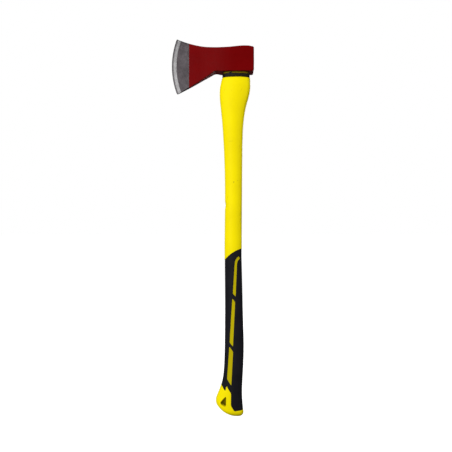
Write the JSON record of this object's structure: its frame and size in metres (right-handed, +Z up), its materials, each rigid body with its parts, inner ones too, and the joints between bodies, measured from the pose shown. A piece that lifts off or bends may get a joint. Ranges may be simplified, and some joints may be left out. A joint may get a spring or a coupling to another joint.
{
  "type": "fire axe",
  "caption": "Long-handled axe: painted steel head with a ground bit, bonded to a moulded handle with a rubber grip and a flared butt.",
  "frame": {"origin": "centre of the eye, in the plane of the flat underside of the head", "axes": "+Z up the handle from the butt to the head; -X towards the cutting edge, +X towards the poll; +Y is the thickness, and the axe is symmetric about Y = 0"},
  "size_m": [0.1954, 0.0392, 0.8979],
  "materials": {
    "head_steel": "semi-gloss dark red enamel over forged steel, bare from the cheek line to the edge, with a bright ground bevel",
    "cast_resin": "black cast epoxy, glossy and slightly uneven where it was poured",
    "seal_rubber": "matt dark brown-black rubber strip",
    "fibreglass": "pale pultruded fibreglass, matt, sawn across at its end",
    "jacket_plastic": "bright yellow moulded polypropylene, satin",
    "grip_rubber": "black thermoplastic rubber, matt and finely pebbled"
  },
  "bodies": {
    "root": {"axe_head": "head_steel", "eye_epoxy": "cast_resin", "neck_seal": "seal_rubber", "handle_core": "fibreglass", "handle_jacket": "jacket_plastic", "grip_sleeve": "grip_rubber"}
  },
  "joints": []
}
